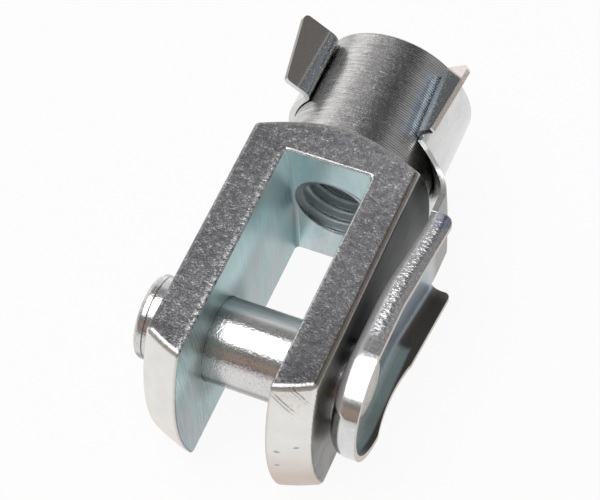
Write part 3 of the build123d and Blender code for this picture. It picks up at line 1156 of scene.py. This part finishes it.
@dataclass
class Thread:
    """Ridges of the internal thread, as a lining of the bore.

    Attributes:
        finish: How the thread looks.
        sizes: The fork's sizes.
        pitch: Rise per turn, in millimetres.
        flank_start: Where the crest ends, as a share of half a pitch from its middle.
        flank_end: Where the groove's bottom starts, likewise.
        end: Pin axis to the neck end of the thread.
        crest_angle: Where the ridge meets the slot's bottom, in degrees from X towards Z.
        setback: How far behind the slot's bottom the first row lies.
        lap: How far the closing rows reach into the bore's wall.
        around: Faces round the bore.
        per_turn: Faces along one pitch.
    """

    finish: Finish
    sizes: ForkSizes
    pitch: float = 1.5
    flank_start: float = 0.14
    flank_end: float = 0.84
    end: float = 39.4
    crest_angle: float = 235.0
    setback: float = 0.01
    lap: float = 0.015
    around: int = 128
    per_turn: int = 16

    def ridge(self, phase: np.ndarray) -> np.ndarray:
        """Radius over one pitch.

        The profile is a trapezium: a flat crest, a straight flank, a flat root and a flank back.

        Args:
            phase: Place within the pitch, 0 at the middle of the crest.

        Returns:
            The radius at each place, in millimetres.
        """
        away = np.abs((phase + 0.5) % 1.0 - 0.5) * 2.0
        rise = np.clip((away - self.flank_start) / (self.flank_end - self.flank_start), 0.0, 1.0)
        crest = self.sizes.thread_crest
        return crest + (self.sizes.thread_root - crest) * rise

    def mouth(self, angle: np.ndarray) -> np.ndarray:
        """Height of the first row, which follows the slot's hollow bottom.

        It is the slot's depth + root of (cutter^2 - z^2) less that root at the bar's flat.

        Args:
            angle: Angle of each point round the bore.

        Returns:
            The height at each angle, in millimetres.
        """
        sizes = self.sizes
        z = sizes.thread_crest * np.sin(angle)
        flat = math.sqrt(sizes.cutter**2 - sizes.half_bar**2)
        return sizes.slot_depth + np.sqrt(sizes.cutter**2 - z**2) - flat + self.setback

    def surface(self) -> np.ndarray:
        """Points of the lining, as rows along the bore.

        A point at angle a and height y has the ridge's radius at phase y / pitch - a / turn,
        with y from the slot's depth and a from where the ridge meets the slot's bottom.
        The rows run evenly from the mouth to the end, and one more row at each end closes the
        lining behind the root.

        Returns:
            Points in millimetres, by row, by place round the bore and by axis.
        """
        angle = np.linspace(0.0, 2 * math.pi, self.around, endpoint=False)[None, :]
        start = self.sizes.slot_depth
        rows = int((self.end - start) / self.pitch * self.per_turn)
        share = np.linspace(0.0, 1.0, rows)[:, None]
        mouth = self.mouth(angle)
        height = mouth + (self.end - mouth) * share
        turned = (angle - math.radians(self.crest_angle)) / (2 * math.pi)
        radius = self.ridge((height - start) / self.pitch - turned)
        behind = np.full((1, self.around), self.sizes.thread_root + self.lap)
        radius = np.concatenate([behind, radius, behind])
        height = np.concatenate([height[:1], height, height[-1:]])
        return np.stack([radius * np.cos(angle), height, radius * np.sin(angle)], axis=-1)

    def mesh(self) -> bpy.types.Mesh:
        """Joins neighbouring points to quads, with the last row joined to the first.

        Returns:
            The lining's mesh, in metres.
        """
        points = self.surface()
        rows, columns = points.shape[:2]
        row = np.arange(rows)[:, None] * columns
        after = (np.arange(rows) + 1)[:, None] % rows * columns
        column = np.arange(columns)[None, :]
        beside = (column + 1) % columns
        corners = [row + column, row + beside, after + beside, after + column]
        faces = np.stack(corners, axis=-1).reshape(-1, 4)
        mesh = bpy.data.meshes.new("thread_lining")
        mesh.from_pydata((points.reshape(-1, 3) * MM).tolist(), [], faces.tolist())
        mesh.polygons.foreach_set("use_smooth", np.ones(len(faces), dtype=bool))
        mesh.update()
        return mesh

    def build(self, body: str) -> None:
        """Makes the lining and rides it on a body.

        Args:
            body: Name of the body that carries it.
        """
        mesh = self.mesh()
        mesh.materials.append(self.finish.make())
        piece = bpy.data.objects.new("thread_lining", mesh)
        bpy.context.scene.collection.objects.link(piece)
        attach(piece, body)
        LOG.info("thread_lining: %d faces", len(mesh.polygons))


@dataclass(frozen=True)
class WallPatch:
    """A soft round patch of brightness on the room's walls.

    Attributes:
        colour: Its brightness and tint.
        towards: Direction to its middle.
        wide: Angle from its middle where it ends, in degrees.
        narrow: Angle from its middle up to which it is full, in degrees.
        share: How far it covers what it lies on.
    """

    colour: Colour
    towards: Way
    wide: float
    narrow: float
    share: float = 1.0

    def cover(self, graph: Graph, way: bpy.types.NodeSocket) -> Signal:
        """How far the patch covers the wall.

        Args:
            graph: Nodes of the room.
            way: Direction that is looked in.

        Returns:
            A signal from 0 to the patch's share.
        """
        unit = tuple(Vector(self.towards).normalized())
        dot = graph.node(
            "ShaderNodeVectorMath", {"operation": "DOT_PRODUCT"}, {0: way, 1: unit}
        )
        edge, full = math.cos(math.radians(self.wide)), math.cos(math.radians(self.narrow))
        return Signal(graph, dot.outputs["Value"]).rise(edge, full) * self.share


@dataclass(frozen=True)
class WallStripe:
    """A level stripe on the room's front wall, between two heights of the line of sight.

    Attributes:
        colour: Its brightness and tint.
        middle: Sine of the elevation of its middle.
        half: Half its width, likewise.
        soft: Width of its soft sides, likewise.
    """

    colour: Colour
    middle: float
    half: float
    soft: float


@dataclass(frozen=True)
class Room:
    """What the plate mirrors: soft grey walls over a darker ground.

    Attributes:
        walls: Brightness of the bare walls.
        ground: Brightness below the horizon.
        apron: Brightness of the front wall's foot and of the ground before it.
        patches: Round patches, each over those before it.
        stripes: Stripes of the front wall, over the patches.
    """

    walls: Colour = (0.38, 0.38, 0.385)
    ground: Colour = (0.2, 0.19, 0.18)
    apron: Colour = (0.75, 0.74, 0.73)
    patches: tuple[WallPatch, ...] = (
        WallPatch((1.35, 1.34, 1.33), (-0.92, 0.4, 0.0), 53.0, 6.0),
        WallPatch((0.08, 0.08, 0.08), (0.17, 0.5, 0.85), 32.0, 5.0),
        WallPatch((0.6, 0.6, 0.6), (-0.15, 0.97, 0.2), 35.0, 10.0, 0.8),
    )
    stripes: tuple[WallStripe, ...] = (
        WallStripe((0.4, 0.3, 0.24), 0.43, 0.12, 0.05),
        WallStripe((0.2, 0.19, 0.18), 0.68, 0.04, 0.06),
        WallStripe((0.08, 0.07, 0.065), 0.23, 0.02, 0.05),
    )

    def build(self) -> None:
        """Makes the world."""
        world = bpy.data.worlds.new("room")
        bpy.context.scene.world = world
        world.use_nodes = True
        graph = Graph(world.node_tree)
        way = graph.node("ShaderNodeTexCoord").outputs["Generated"]
        _, depth, height = graph.split(way)
        front = depth.rise(-0.3, -0.6)
        colour: Paint = self.walls
        for patch in self.patches:
            colour = graph.blend(colour, patch.colour, patch.cover(graph, way))
        for stripe in self.stripes:
            cover = front * height.band(stripe.middle, half=stripe.half, soft=stripe.soft)
            colour = graph.blend(colour, stripe.colour, cover)
        colour = graph.blend(self.ground, colour, height.rise(0.0, 0.16))
        colour = graph.blend(colour, self.apron, front * height.rise(0.18, 0.12))
        back = graph.node("ShaderNodeBackground", None, {"Color": colour})
        graph.node("ShaderNodeOutputWorld", None, {"Surface": back.outputs[0]})


@dataclass(frozen=True)
class Softbox:
    """A rectangular softbox that faces the part.

    Attributes:
        name: The light's name.
        towards: Direction from the part to the light.
        size: Width and height, in metres.
        power: Radiant power, in watts.
        distance: From the part, in metres.
    """

    name: str
    towards: Way
    size: tuple[float, float]
    power: float
    distance: float = 0.7

    def hang(self) -> None:
        """Hangs the softbox."""
        data = bpy.data.lights.new(self.name, "AREA")
        data.shape = "RECTANGLE"
        data.size, data.size_y = self.size
        data.energy = self.power
        light = bpy.data.objects.new(self.name, data)
        way = Vector(self.towards).normalized()
        light.location = way * self.distance
        light.rotation_mode = "QUATERNION"
        light.rotation_quaternion = (-way).to_track_quat("-Z", "Y")
        bpy.context.scene.collection.objects.link(light)


@dataclass(frozen=True)
class Camera:
    """Camera that looks down on the front flat, from beside the ear ends.

    Attributes:
        sensor: Width of its sensor, in millimetres.
        focal: Lens length, in millimetres.
        azimuth: Direction towards it about Z, from -Y, in radians.
        elevation: Its height above the horizon, in radians.
        roll: Its turn about its own line of sight, in radians.
        distance: From the part's origin along the line of sight, in metres.
        aside: Its place to the right of and above the part's origin, in metres.
        nearest: What lies nearer is not drawn, in metres.
        farthest: What lies farther is not drawn, in metres.
    """

    sensor: float = 36.0
    focal: float = 130.3226772
    azimuth: float = 0.49733
    elevation: float = 0.99197
    roll: float = -0.11162
    distance: float = 0.23981113
    aside: tuple[float, float] = (0.00404312, 0.01141988)
    nearest: float = 0.01
    farthest: float = 20.0

    def axes(self) -> np.ndarray:
        """Rows: its right, up and backward directions.

        Backward has the camera's azimuth and elevation, right is level, up is square to both,
        and the roll turns right and up about backward.

        Returns:
            A 3 x 3 array.
        """
        flat = math.cos(self.elevation)
        back = np.array(
            [
                math.sin(self.azimuth) * flat,
                -math.cos(self.azimuth) * flat,
                math.sin(self.elevation),
            ]
        )
        right = np.cross([0.0, 0.0, 1.0], back)
        right /= np.linalg.norm(right)
        up = np.cross(back, right)
        cos, sin = math.cos(self.roll), math.sin(self.roll)
        return np.array([cos * right + sin * up, cos * up - sin * right, back])

    def build(self) -> None:
        """Places the camera."""
        axes = self.axes()
        data = bpy.data.cameras.new("camera")
        data.sensor_width = self.sensor
        data.lens = self.focal
        data.clip_start = self.nearest
        data.clip_end = self.farthest
        camera = bpy.data.objects.new("camera", data)
        matrix = Matrix(axes.T.tolist()).to_4x4()
        matrix.translation = Vector((np.array([*self.aside, self.distance]) @ axes).tolist())
        camera.matrix_world = matrix
        bpy.context.scene.collection.objects.link(camera)
        bpy.context.scene.camera = camera


@dataclass(frozen=True)
class Floor:
    """A plain pale floor.

    Attributes:
        size: Side of the square, in metres.
        height: Its height, in metres.
        paper: Its colour under the light.
        white: How white it shows to the camera: 1 is white, and the rest lets the shadow show.
    """

    size: float = 4.0
    height: float = -0.01
    paper: Colour = (0.9, 0.9, 0.9)
    white: float = 0.93

    def paint(self) -> bpy.types.Material:
        """Paper that glows white to the camera and in the plate's reflections.

        Returns:
            The floor's material.
        """
        material = bpy.data.materials.new("floor_paper")
        material.use_nodes = True
        graph = Graph(material.node_tree)
        path = graph.node("ShaderNodeLightPath")
        to_camera = Signal(graph, path.outputs["Is Camera Ray"]) * self.white
        mirrored = graph.high(
            Signal(graph, path.outputs["Is Glossy Ray"]),
            Signal(graph, path.outputs["Is Transmission Ray"]),
        )
        paper = graph.node("ShaderNodeBsdfDiffuse", None, {"Color": (*self.paper, 1.0)})
        glow = graph.node("ShaderNodeEmission", None, {"Color": (1.0, 1.0, 1.0, 1.0)})
        both = graph.node(
            "ShaderNodeMixShader",
            None,
            {0: graph.high(to_camera, mirrored), 1: paper.outputs[0], 2: glow.outputs[0]},
        )
        graph.node("ShaderNodeOutputMaterial", None, {"Surface": both.outputs[0]})
        return material

    def build(self) -> None:
        """Lays the floor."""
        half = self.size / 2
        ways = ((-half, -half), (half, -half), (half, half), (-half, half))
        mesh = bpy.data.meshes.new("floor")
        mesh.from_pydata([(x, y, self.height) for x, y in ways], [], [(0, 1, 2, 3)])
        mesh.materials.append(self.paint())
        floor = bpy.data.objects.new("floor", mesh)
        bpy.context.scene.collection.objects.link(floor)


@dataclass(frozen=True)
class Studio:
    """Camera, floor, room and light.

    Attributes:
        camera: The camera.
        floor: The floor.
        room: The room.
        ceiling: The softbox above the part.
    """

    camera: Camera = Camera()
    floor: Floor = Floor()
    room: Room = Room()
    ceiling: Softbox = Softbox("ceiling", (-0.25, -0.06, 0.96), (0.6, 0.42), 2.4)

    def build(self) -> None:
        """Makes the whole studio."""
        bpy.context.scene.view_settings.view_transform = "Standard"
        self.camera.build()
        self.floor.build()
        self.room.build()
        self.ceiling.hang()
        LOG.info("studio")


def main() -> None:
    """Builds the studio and dresses each piece."""
    logging.basicConfig(level=logging.INFO)
    sizes = ForkSizes()
    Studio().build()
    SolidPiece("fork_body", ForkFinish("fork_zinc", sizes)).dress()
    SolidPiece("clevis_pin", PinFinish("pin_zinc")).dress()
    SolidPiece("spring_clip", ClipFinish("clip_zinc")).dress()
    Thread(ThreadFinish("thread_zinc", sizes), sizes).build("fork")


if __name__ == "__main__":
    main()
